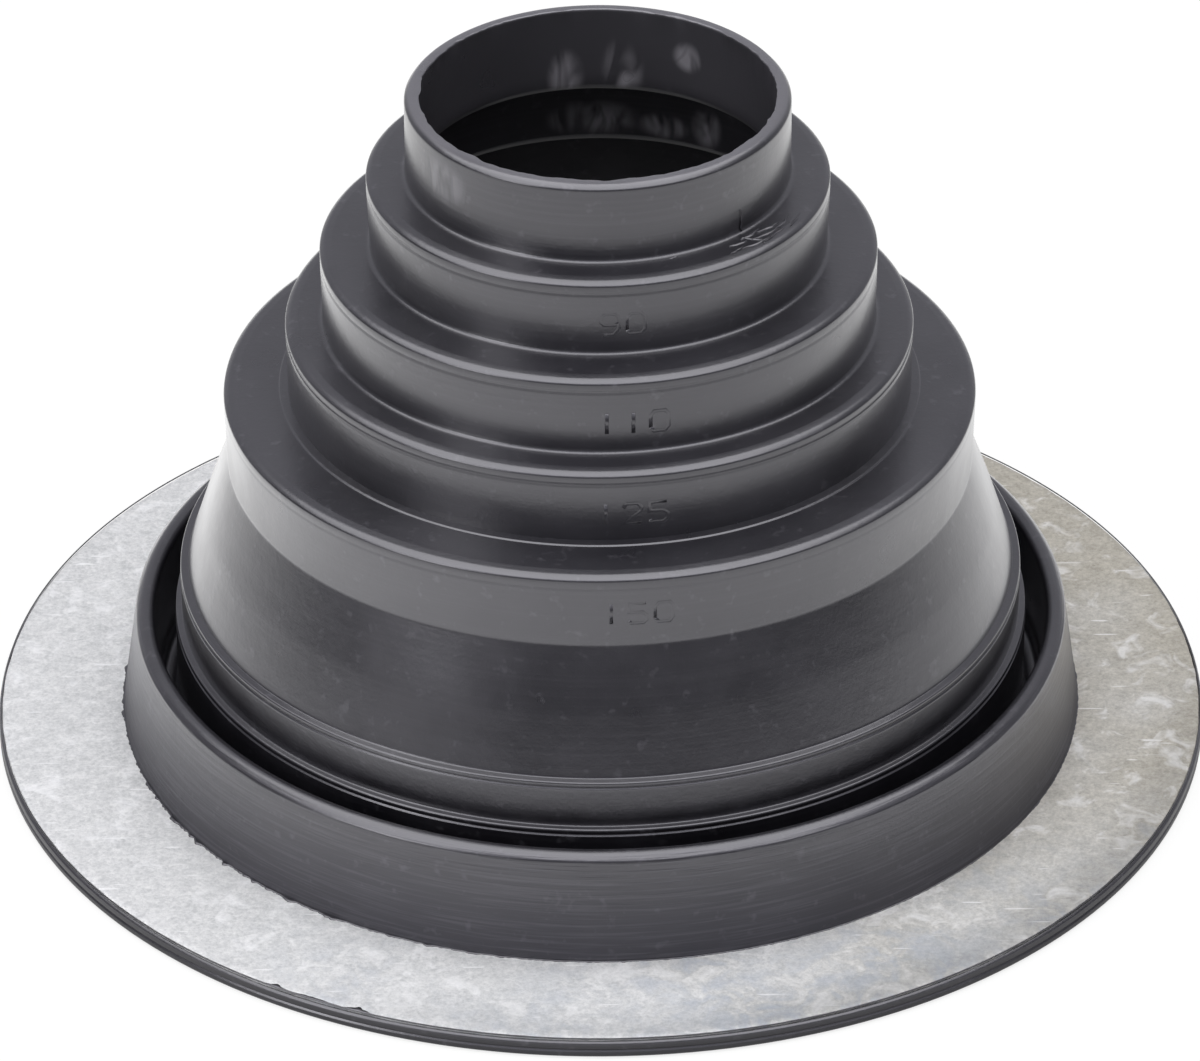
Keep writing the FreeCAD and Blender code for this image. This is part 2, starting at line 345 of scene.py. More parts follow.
def turned(name, outline):
    """A piece from a closed outline turned round Z, each point placed by `moulded`."""
    points = []
    for radius, level in outline:
        for j in range(TURNS):
            angle = TAU * j / TURNS
            r, z = moulded(radius, level, angle)
            points.append(spot_at(r, angle, z))
    faces = []
    rows = len(outline)
    for i in range(rows):
        a, b = i * TURNS, (i + 1) % rows * TURNS
        for j in range(TURNS):
            k = (j + 1) % TURNS
            faces.append((a + j, b + j, b + k, a + k))
    piece = smooth_piece(name, points, faces)
    piece.data.set_sharp_from_angle(angle=SHARP_ANGLE)
    return piece


def paint(code):
    """An sRGB hex colour as linear red, green, blue and alpha."""
    parts = [int(code[i:i + 2], 16) / 255 for i in (1, 3, 5)]
    return [c / 12.92 if c <= 0.04045 else ((c + 0.055) / 1.055) ** 2.4 for c in parts] + [1.0]


def per_metre(size):
    """The scale of a pattern whose features are this size in mm."""
    return 1 / (size * MM)


def add(material, kind, settings=None, **sockets):
    """Adds a node with its settings and its sockets, each a value or an output. A socket goes by its
    name, with _ for a space, or by its number after an _."""
    node = material.node_tree.nodes.new("ShaderNode" + kind)
    for name, value in (settings or {}).items():
        setattr(node, name, value)
    for name, value in sockets.items():
        key = int(name[1:]) if name[0] == "_" else name.replace("_", " ")
        if isinstance(value, bpy.types.NodeSocket):
            material.node_tree.links.new(value, node.inputs[key])
        else:
            node.inputs[key].default_value = value
    return node


def new_material(name):
    """An empty node material."""
    material = bpy.data.materials.new(name)
    material.use_nodes = True
    material.node_tree.nodes.clear()
    return material


# Carbon-black rubber, its brushed or moulded lines, its bloom, and its violet sheen.
RUBBER_BLACK = ("#131217", "#1c1b20")
LINE_GREY = "#333237"
BLOOM_GREY = "#5c5b61"
SHEEN = "#f6f4ff"
# The real grain is under 0.2 mm. It is drawn coarse enough to show.
GRAIN_SIZE = 0.588
FLECK_SIZE = 3.03
BLOTCH_SIZE = 18.2
# The lines' length round the boot and their pitch up it, and the tilt of a hand's brush strokes.
MOULD_LINES = (111.0, 111.0, 0.769)
BRUSH_LINES = (26.3, 26.3, 0.667)
BRUSH_TILT = (0.035, 0.02, 0.0)


def black_rubber(name, tilt, lines, line_depth, line_strength):
    """Carbon-black EPDM: near black under a satin, faintly violet sheen, with fine grain, soft
    blotches and flecks of pale bloom. Fine lines run round it: faint marks of the turned mould, or
    the strokes of a brush. Returns what the finishes below build on."""
    rubber = new_material(name)
    place = add(rubber, "TexCoord").outputs["Object"]
    grain = add(rubber, "TexNoise", Vector=place, Scale=per_metre(GRAIN_SIZE), Detail=1.0, Roughness=0.6)
    fleck = add(rubber, "TexNoise", Vector=place, Scale=per_metre(FLECK_SIZE), Detail=2.0, Roughness=0.65)
    cloud = add(rubber, "TexNoise", Vector=place, Scale=per_metre(BLOTCH_SIZE), Detail=3.0, Roughness=0.6)
    line_place = add(
        rubber, "Mapping", Vector=place, Rotation=tilt, Scale=[per_metre(size) for size in lines],
    ).outputs[0]
    stroke = add(
        rubber, "TexNoise", Vector=line_place, Scale=1.0, Detail=2.0, Roughness=0.7,
    ).outputs["Fac"]

    tone = add(rubber, "MapRange", Value=cloud.outputs["Fac"], From_Min=0.3, From_Max=0.72).outputs[0]
    black = add(
        rubber, "Mix", {"data_type": "RGBA"}, _0=tone,
        _6=paint(RUBBER_BLACK[0]), _7=paint(RUBBER_BLACK[1]),
    ).outputs[2]
    streak = add(
        rubber, "MapRange", Value=stroke, From_Min=0.48, From_Max=0.7, To_Max=line_strength,
    ).outputs[0]
    streaked = add(
        rubber, "Mix", {"data_type": "RGBA"}, _0=streak, _6=black, _7=paint(LINE_GREY),
    ).outputs[2]
    dust = add(
        rubber, "MapRange", Value=fleck.outputs["Fac"], From_Min=0.62, From_Max=0.75, To_Max=0.25,
    ).outputs[0]
    dusty = add(
        rubber, "Mix", {"data_type": "RGBA"}, _0=dust, _6=streaked, _7=paint(BLOOM_GREY),
    ).outputs[2]
    satin = add(
        rubber, "MapRange", Value=cloud.outputs["Fac"], From_Min=0.3, From_Max=0.7,
        To_Min=0.27, To_Max=0.38,
    ).outputs[0]

    # Relief of 0.05 mm in the grain, and 0.12 mm in the flecks and lines.
    grain_bump = add(
        rubber, "Bump", Height=grain.outputs["Fac"], Strength=0.25, Distance=0.05 * MM,
    ).outputs[0]
    fleck_bump = add(
        rubber, "Bump", Height=fleck.outputs["Fac"], Strength=0.35, Distance=0.12 * MM, Normal=grain_bump,
    ).outputs[0]
    bump = add(
        rubber, "Bump", Height=stroke, Strength=line_depth, Distance=0.12 * MM, Normal=fleck_bump,
    ).outputs[0]
    shader = add(
        rubber, "BsdfPrincipled", Base_Color=dusty, Roughness=satin, IOR=1.75, Normal=bump,
        Specular_Tint=paint(SHEEN), Coat_Weight=1.0, Coat_Roughness=0.26, Coat_Normal=bump,
    )
    add(rubber, "OutputMaterial", Surface=shader.outputs["BSDF"])
    return rubber, place, dusty, shader


# On the sleeve: the film in its bore, with the radii and levels between which it sets in, the chalk,
# and the grey of the cut rim, with the levels between which it sets in.
FILM_GREY = "#3b3a3f"
FILM_RADII = (36.2, 35.5)
FILM_LEVELS = (122.0, 127.0)
CHALK = "#8a888f"
CHALK_WISP = (6.67, 6.67, 16.7)
CUT_GREY = "#504f54"
CUT_LEVELS = (140.8, 141.3)
# The chalk marks: each one's middle, its half sizes, and how thick it lies.
CHALK_MARKS = [
    ((-6.2, 33.5, 126.5), (4.5, 3.0, 7.5), 1.0),
    ((4.8, 33.7, 128.5), (5.0, 3.0, 8.5), 1.0),
    ((17.5, 29.5, 133.0), (4.0, 3.5, 4.0), 1.0),
    ((-1.0, 42.5, 112.5), (11.0, 2.5, 5.0), 1.0),
    ((12.0, 40.8, 111.5), (8.5, 3.0, 3.5), 1.0),
    ((21.5, 37.0, 113.0), (4.5, 3.5, 5.5), 1.0),
    ((-30.0, -23.0, 134.5), (8.0, 10.0, 5.5), 0.35),
]


def chalked_epdm():
    """The sleeve's rubber: grey where the rim was cut, filmed with chalk inside, and marked by wisps
    of chalk where hands held it."""
    rubber, place, dusty, shader = black_rubber(
        "chalked_epdm_rubber", (0.0, 0.0, 0.0), MOULD_LINES, line_depth=0.16, line_strength=0.3,
    )
    flat = add(rubber, "VectorMath", {"operation": "MULTIPLY"}, _0=place, _1=(1.0, 1.0, 0.0)).outputs[0]
    reach = add(rubber, "VectorMath", {"operation": "LENGTH"}, _0=flat).outputs["Value"]
    level = add(rubber, "SeparateXYZ", Vector=place).outputs["Z"]

    in_bore = add(
        rubber, "MapRange", Value=reach, From_Min=FILM_RADII[0] * MM, From_Max=FILM_RADII[1] * MM,
    ).outputs[0]
    high_up = add(
        rubber, "MapRange", Value=level, From_Min=FILM_LEVELS[0] * MM, From_Max=FILM_LEVELS[1] * MM,
    ).outputs[0]
    film = add(rubber, "Math", {"operation": "MULTIPLY"}, _0=in_bore, _1=high_up).outputs[0]
    filmed = add(
        rubber, "Mix", {"data_type": "RGBA"}, _0=film, _6=dusty, _7=paint(FILM_GREY),
    ).outputs[2]

    # Upright wisps, shown only near each mark's middle.
    wisp_place = add(
        rubber, "Mapping", Vector=place, Scale=[per_metre(size) for size in CHALK_WISP],
    ).outputs[0]
    wisp = add(
        rubber, "TexNoise", Vector=wisp_place, Scale=1.0, Detail=2.0, Roughness=0.55, Distortion=1.2,
    ).outputs["Fac"]
    wispy = add(rubber, "MapRange", Value=wisp, From_Min=0.4, From_Max=0.58, To_Max=0.85).outputs[0]
    held = 0.0
    for middle, half_size, strength in CHALK_MARKS:
        apart = add(
            rubber, "VectorMath", {"operation": "SUBTRACT"}, _0=place, _1=[c * MM for c in middle],
        ).outputs[0]
        scaled = add(
            rubber, "VectorMath", {"operation": "DIVIDE"}, _0=apart, _1=[c * MM for c in half_size],
        ).outputs[0]
        away = add(rubber, "VectorMath", {"operation": "LENGTH"}, _0=scaled).outputs["Value"]
        near = add(
            rubber, "MapRange", {"interpolation_type": "SMOOTHSTEP"}, Value=away,
            From_Min=0.4, From_Max=1.0, To_Min=strength, To_Max=0.0,
        ).outputs[0]
        held = add(rubber, "Math", {"operation": "MAXIMUM"}, _0=held, _1=near).outputs[0]
    marks = add(rubber, "Math", {"operation": "MULTIPLY"}, _0=held, _1=wispy).outputs[0]
    chalked = add(
        rubber, "Mix", {"data_type": "RGBA"}, _0=marks, _6=filmed, _7=paint(CHALK),
    ).outputs[2]

    cut = add(
        rubber, "MapRange", Value=level, From_Min=CUT_LEVELS[0] * MM, From_Max=CUT_LEVELS[1] * MM,
    ).outputs[0]
    trimmed = add(
        rubber, "Mix", {"data_type": "RGBA"}, _0=cut, _6=chalked, _7=paint(CUT_GREY),
    ).outputs[2]
    rubber.node_tree.links.new(trimmed, shader.inputs["Base Color"])
    return rubber


# Painted shade: the collar is dull up to the lower level, where the dark ring is mirrored, and shines fully
# from the upper one.
PAINTED_SHADE_LEVELS = (6.0, 23.0)


def brushed_epdm():
    """The collar's rubber: stroked by the fitter's brush, and duller towards its root, a painted shade
    for the dark metal ring that it mirrors there."""
    rubber, place, _, shader = black_rubber(
        "brushed_epdm_rubber", BRUSH_TILT, BRUSH_LINES, line_depth=0.9, line_strength=1.0,
    )
    level = add(rubber, "SeparateXYZ", Vector=place).outputs["Z"]
    # Painted shade: less coat shine and more roughness towards the root.
    clear_of_painted_shade = add(
        rubber, "MapRange", Value=level, From_Min=PAINTED_SHADE_LEVELS[0] * MM, From_Max=PAINTED_SHADE_LEVELS[1] * MM,
    ).outputs[0]
    shine = add(rubber, "MapRange", Value=clear_of_painted_shade, To_Min=0.0, To_Max=0.85).outputs[0]
    dull = add(rubber, "MapRange", Value=clear_of_painted_shade, To_Min=0.62, To_Max=0.32).outputs[0]
    rubber.node_tree.links.new(shine, shader.inputs["Coat Weight"])
    rubber.node_tree.links.new(dull, shader.inputs["Roughness"])
    return rubber


def finish(radius, level):
    """Which of the boot's three finishes a place has: 0 moulded, 1 brushed, 2 chalked."""
    slope = (COLLAR_FOOT - COLLAR_RADIUS) / (COLLAR_TOP - SHEET_TOP)
    collar_face = COLLAR_RADIUS + (COLLAR_TOP - level) * slope
    if SHEET_TOP < level < COLLAR_TOP - 0.3 and radius > collar_face - 0.9:
        return 1
    on_sleeve = level > STEPS[0][1] - 0.1
    in_top_bore = level > STEPS[1][1] - 2.5 and radius < STEPS[0][0] - 1.5
    return 2 if on_sleeve or in_top_bore else 0


boot = turned("epdm_boot_moulding", rounded(outside() + underside()))
epdm = black_rubber(
    "moulded_epdm_rubber", (0.0, 0.0, 0.0), MOULD_LINES, line_depth=0.09, line_strength=0.2,
)[0]
for rubber in (epdm, brushed_epdm(), chalked_epdm()):
    boot.data.materials.append(rubber)
for face in boot.data.polygons:
    x, y, z = face.center
    face.material_index = finish(math.hypot(x, y) / MM, z / MM)
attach(boot, "root")
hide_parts("epdm_boot")


# ---------------------------------------------------------------- pipe-size numerals
# Raised figures on the steps, part of the same moulding: they name the pipe that each step fits.
# They were cut into the mould with a small round-ended tool, so the strokes are thin soft ridges.

FIGURE_HEIGHT = 4.5
FIGURE_WIDTH = 3.5
FIGURE_PITCH = 5.1
STROKE_WIDTH = 0.95
STROKE_RISE = 0.1
# The ridge's section: how far across, as a share of its width, and how high, as a share of its rise.
RIDGE_SECTION = [(-0.5, -0.25), (-0.28, 0.6), (0.0, 1.0), (0.28, 0.6), (0.5, -0.25)]
# A ridge's side is drawn out at a bend, by one over this at most.
SHARPEST_MITRE = 0.6
# Each figure is one stroke in a unit square.
FIGURES = {
    "0": [(0, .2), (0, .8), (.2, 1), (.8, 1), (1, .8), (1, .2), (.8, 0), (.2, 0), (0, .2)],
    "1": [(.5, 0), (.5, 1)],
    "2": [(0, .8), (.2, 1), (.8, 1), (1, .8), (1, .62), (0, 0), (1, 0)],
    "5": [(.95, 1), (.05, 1), (0, .56), (.75, .56), (1, .4), (1, .15), (.8, 0), (.15, 0), (0, .12)],
    "9": [
        (1, .62), (.8, .46), (.2, .46), (0, .62), (0, .85), (.2, 1), (.8, 1), (1, .85), (1, .3),
        (.7, 0), (.1, 0),
    ],
}
# Each marking: its text, its step, its middle level and how far right of the front its middle lies.
MARKINGS = [
    ("90", 0, 115.4, 4.6),
    ("110", 1, 99.2, 6.5),
    ("125", 2, 83.4, 6.2),
    ("150", 3, 68.8, 7.2),
]


def ridge(line, on_surface, widths, rise):
    """Points and faces of a soft ridge along a line of (across, up) points in mm on a surface."""
    points, faces = [], []
    count = len(line)
    rows = len(RIDGE_SECTION)
    for i, (u, v) in enumerate(line):
        here = Vector((u, v))
        before = (here - Vector(line[i - 1])).normalized() if i else None
        after = (Vector(line[i + 1]) - here).normalized() if i < count - 1 else None
        along = (before + after).normalized() if before and after else before or after
        side = Vector((-along.y, along.x))
        mitre = side.dot(Vector((-after.y, after.x))) if before and after else 1.0
        side /= max(SHARPEST_MITRE, mitre)
        for share, height in RIDGE_SECTION:
            spot = here + side * share * widths[i]
            points.append(on_surface(spot.x, spot.y, height * rise))
    for i in range(count - 1):
        for k in range(rows - 1):
            a = i * rows + k
            faces.append((a, a + 1, a + rows + 1, a + rows))
    faces.append(tuple(reversed(range(rows))))
    faces.append(tuple(range((count - 1) * rows, count * rows)))
    return points, faces


def part_of_moulding(name, points, faces):
    """A piece of the boot's own rubber from mesh points and faces."""
    piece = smooth_piece(name, points, faces)
    piece.data.materials.append(epdm)
    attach(piece, "root")


def join(parts):
    """One list of points and one of faces from several (points, faces)."""
    points, faces = [], []
    for more_points, more_faces in parts:
        faces += [tuple(k + len(points) for k in face) for face in more_faces]
        points += more_points
    return points, faces


def marking(text, step, level, middle):
    """The raised figures of one marking, curved round its wall at the front of the boot."""
    radius, top, foot = STEPS[step][:3]
    bottom = STEPS[step + 1][1] if step + 1 < len(STEPS) else WAIST_LEVEL

    def on_wall(u, v, rise):
        angle = -math.pi / 2 + u / radius
        share = (top - level - v) / (top - bottom)
        r = radius + (foot - radius) * share + rippled(WALL_RIPPLES, angle, level + v) + rise
        return spot_at(r, angle, level + v)

    start = middle - (FIGURE_PITCH * (len(text) - 1) + FIGURE_WIDTH) / 2
    figures = []
    for i, figure in enumerate(text):
        left = start + FIGURE_PITCH * i
        line = [(left + x * FIGURE_WIDTH, (y - 0.5) * FIGURE_HEIGHT) for x, y in FIGURES[figure]]
        figures.append(ridge(line, on_wall, [STROKE_WIDTH] * len(line), STROKE_RISE))
    return join(figures)


for text, step, level, middle in MARKINGS:
    part_of_moulding("size_" + text, *marking(text, step, level, middle))


# ---------------------------------------------------------------- moulding flash
# Films of rubber that crept onto the metal when the mould closed: one ragged film round the foot of
# the collar and a few scraps at the flange's edge. They are thin as paper and part of the boot.

FLASH_TURNS = 1440
FLASH_THICKNESS = 0.14
FLASH_SINK = 0.05
FLASH_BEVEL = 0.04
# The film round the collar's root: its least width, its ragged fringe and longer tongues, how much
# of these it has all round, and how much more at its worst, which lies at this azimuth from the
# front and fades over this many degrees.
ROOT_WIDTH = 0.12
ROOT_FRINGE = [(0.9, 0.9, 31.0)]
ROOT_TONGUES = [(1.6, 2.6, 37.0)]
ROOT_TONGUES_FROM = 0.32
ROOT_RAGGED = 0.25
ROOT_WORST = 0.9
ROOT_WORST_AZIMUTH = -50
ROOT_WORST_SPREAD = 75
# The scraps: each one's azimuth from the front, its half width in degrees, and its length.
SCRAPS = [(-22.4, 1.3, 1.5), (-30.6, 1.2, 0.8), (-27.0, 3.0, 0.6)]
SCRAP_LEAST = 0.5
SCRAP_RIPPLES = [(0.9, 0.8, 41.0)]
RIM_FRINGE = [(0.12, 1.7, 43.0)]


def film_of_flash(inner, outer):
    """A ring of thin film on the metal between two radii that change with the angle."""
    points, faces = [], []
    low, high = SHEET_TOP - FLASH_SINK, SHEET_TOP + FLASH_THICKNESS
    for j in range(FLASH_TURNS):
        angle = TAU * j / FLASH_TURNS
        near, far = inner(angle), outer(angle)
        mid = (near + far) / 2
        section = [
            (near, low), (near + FLASH_BEVEL, high), (mid, high), (far - FLASH_BEVEL, high), (far, low),
        ]
        points += [spot_at(radius, angle, level) for radius, level in section]
    rows = len(section)
    for j in range(FLASH_TURNS):
        a, b = rows * j, rows * ((j + 1) % FLASH_TURNS)
        for k in range(rows):
            n = (k + 1) % rows
            faces.append((a + k, a + n, b + n, b + k))
    return points, faces


def facing(angle, middle, half_width):
    """1 at an azimuth in degrees from the front, falling to 0 at half_width degrees from it."""
    turn = math.degrees(angle) + 90 - middle
    turn = abs((turn + 180) % 360 - 180)
    return max(0.0, 1 - turn / half_width)


def root_edge(angle):
    """Where the film round the collar's foot ends: widest and most ragged at the front left."""
    fringe = abs(rippled(ROOT_FRINGE, angle, 0.0))
    tongues = max(0.0, rippled(ROOT_TONGUES, angle, 0.0) - ROOT_TONGUES_FROM)
    worst = ROOT_WORST * facing(angle, ROOT_WORST_AZIMUTH, ROOT_WORST_SPREAD)
    return COLLAR_FOOT + ROOT_WIDTH + (fringe + tongues) * (ROOT_RAGGED + worst)


def rim_edge(angle):
    """Where the scraps at the flange's edge end: three short ones lie at the front left."""
    scrap = sum(length * facing(angle, middle, half_width) for middle, half_width, length in SCRAPS)
    ragged = SCRAP_LEAST + abs(rippled(SCRAP_RIPPLES, angle, 0.0))
    fringe = abs(rippled(RIM_FRINGE, angle, 0.0)) * facing(angle, -10, 70)
    return RING_RADIUS + 0.1 - scrap * ragged - fringe


part_of_moulding("collar_flash", *film_of_flash(lambda angle: COLLAR_FOOT - 0.5, root_edge))
part_of_moulding("rim_flash", *film_of_flash(rim_edge, lambda angle: RING_RADIUS + 0.35))


# ---------------------------------------------------------------- torn skin on the top ledge
# A patch at the right of the smallest step where the skin stuck to the mould and tore: slivers of
# rubber that lie along the ledge, and one that runs up the sleeve.

SLIVER_CUTS = 8
SLIVER_BEND = [(0.35, 6.0, 47.0)]
SLIVER_POINT = 0.12
# Each sliver: azimuth of its two ends in degrees from the front, their radii, width and rise.
SLIVERS = [
    (38, 44, 40.4, 41.2, 0.9, 0.18),
    (40, 50, 42.6, 43.4, 0.7, 0.15),
    (43, 51, 40.0, 39.6, 1.1, 0.21),
    (45, 55, 41.4, 42.6, 0.8, 0.195),
    (47, 59, 43.6, 42.9, 0.6, 0.135),
    (49, 57, 40.3, 41.4, 0.9, 0.225),
    (52, 62, 42.4, 41.7, 0.6, 0.15),
    (44, 47, 39.2, 43.2, 0.8, 0.165),
    (48, 46, 41.8, 44.1, 0.6, 0.15),
    (36, 41, 42.9, 42.2, 0.5, 0.105),
    (57, 64, 43.9, 43.2, 0.5, 0.105),
    (20, 23, 38.9, 38.7, 0.6, 0.165),
]
# The upright sliver: its azimuth, its lowest point above the ledge, its points and their pitch, how
# many degrees it sways, its width, how far it stands off the sleeve, and its rise.
UPRIGHT_AZIMUTH = 46.2
UPRIGHT_FOOT = 0.4
UPRIGHT_POINTS = 7
UPRIGHT_PITCH = 0.75
UPRIGHT_SWAY = [(0.5, 5.0, 53.0)]
UPRIGHT_WIDTH = 0.7
UPRIGHT_STAND = 0.25
UPRIGHT_RISE = 0.2


def torn_skin():
    """The slivers of the torn patch, each a ridge with pointed ends."""
    ledge = STEPS[0][1]

    def on_ledge(u, v, rise):
        return spot_at(v, math.radians(u) - math.pi / 2, ledge + rise)

    def on_sleeve(u, v, rise):
        return spot_at(SLEEVE_RADIUS + UPRIGHT_STAND + rise, math.radians(u) - math.pi / 2, ledge + v)

    slivers = []
    for start, end, first, last, wide, rise in SLIVERS:
        line = []
        widths = []
        for i in range(SLIVER_CUTS + 1):
            share = i / SLIVER_CUTS
            bend = rippled(SLIVER_BEND, share * 2.0, start)
            line.append((start + (end - start) * share, first + (last - first) * share + bend))
            widths.append(max(SLIVER_POINT, math.sin(math.pi * share)) * wide)
        slivers.append(ridge(line, on_ledge, widths, rise))
    line = []
    widths = []
    for i in range(UPRIGHT_POINTS):
        sway = rippled(UPRIGHT_SWAY, i * 0.4, 0.0)
        line.append((UPRIGHT_AZIMUTH + sway, UPRIGHT_FOOT + i * UPRIGHT_PITCH))
        widths.append(UPRIGHT_WIDTH * (1 - i / UPRIGHT_POINTS))
    slivers.append(ridge(line, on_sleeve, widths, UPRIGHT_RISE))
    return join(slivers)


part_of_moulding("torn_skin", *torn_skin())


# ---------------------------------------------------------------- aluminium flange ring
# A flat ring punched from soft 1 mm aluminium sheet. It lies in the flange, its hole held under the
# collar's root, and fitters bend it by hand to the roof.

RING_HOLE = 96.5
RING_TURNS = 480
# The radii of the points across the face, so that it can sag and swell.
FACE_RADII = [98.5, 103.0, 108.0, 113.0, 118.0, 121.0, RING_RADIUS - 0.4]
SHEARED_EDGE = [
    (RING_RADIUS - 0.1, SHEET_TOP - 0.1),
    (RING_RADIUS, SHEET_TOP - 0.35),
    (RING_RADIUS, SHEET_SEAT),
]
EDGE_BURRS = [(0.16, 1.6, 61.0), (0.12, 14.0, 67.0)]
BURR_FROM = 1.0
BURR_OVER = 0.6
FACE_SWELL = [(0.05, 26.0, 71.0)]
FACE_SAG = 0.02


def sheet_ring():
    """The ring turned from a section with sheared edges: the face sags and swells a little, and the
    outer edge has small burrs."""
    section = [(RING_HOLE, SHEET_SEAT), (RING_HOLE, SHEET_TOP)]
    section += [(radius, SHEET_TOP) for radius in FACE_RADII]
    section += SHEARED_EDGE
    points = []
    faces = []
    rows = len(section)
    for j in range(RING_TURNS):
        angle = TAU * j / RING_TURNS
        burr = rippled(EDGE_BURRS, angle, 0.0)
        for radius, level in section:
            at_edge = max(0.0, min(1.0, (radius - RING_RADIUS + BURR_FROM) / BURR_OVER))
            r = radius + burr * at_edge
            z = level
            if level == SHEET_TOP and radius > RING_HOLE:
                z += rippled(FACE_SWELL, angle, radius) - FACE_SAG
            points.append(spot_at(r, angle, z))
    for j in range(RING_TURNS):
        a, b = rows * j, rows * ((j + 1) % RING_TURNS)
        for k in range(rows):
            n = (k + 1) % rows
            faces.append((a + k, b + k, b + n, a + n))
    piece = smooth_piece("aluminium_sheet_ring", points, faces)
    piece.data.set_sharp_from_angle(angle=SHARP_ANGLE)
    return piece


# Mill-finish aluminium: the grains' two greys in light and in painted warm shade, the blue of painted
# cool light, the white of rubs and scratches, and the grey of painted shade on the outer edge.
LIT_METAL = ("#cacbcc", "#eaeaea")
SHADED_METAL = ("#b0aca3", "#ccc8be")
COOL_LIGHT_BLUE = "#b4bdcc"
RUBBED_WHITE = "#f8f8f9"
EDGE_SHADE_GREY = "#5a5c60"
# The real crystals are under 0.3 mm. Their speckle is drawn coarse enough to show.
SPECKLE_SIZE = 0.714
MOTTLE_SIZE = 2.5
RUB_SIZE = 6.67
CLOUD_SIZE = 45.5
# The scratches' length and pitch, and how far their lines are turned on the sheet, in radians.
SCRATCH_SIZE = (11.1, 1.111, 1000.0)
SCRATCH_TURN = 0.9
# How the sheet changes across the ring: painted shade grows with this vector, painted cool light with
# the next, and painted shade on the outer edge with the last, all per metre.
PAINTED_SHADE_ACROSS = (4.2, 1.6, 0.0)
COOL_LIGHT_ACROSS = (1.5, -6.0, 0.0)
EDGE_SHADE_ACROSS = (4.0, -6.0, 0.0)
EDGE_SHADE_RADII = (110.0, 120.0)


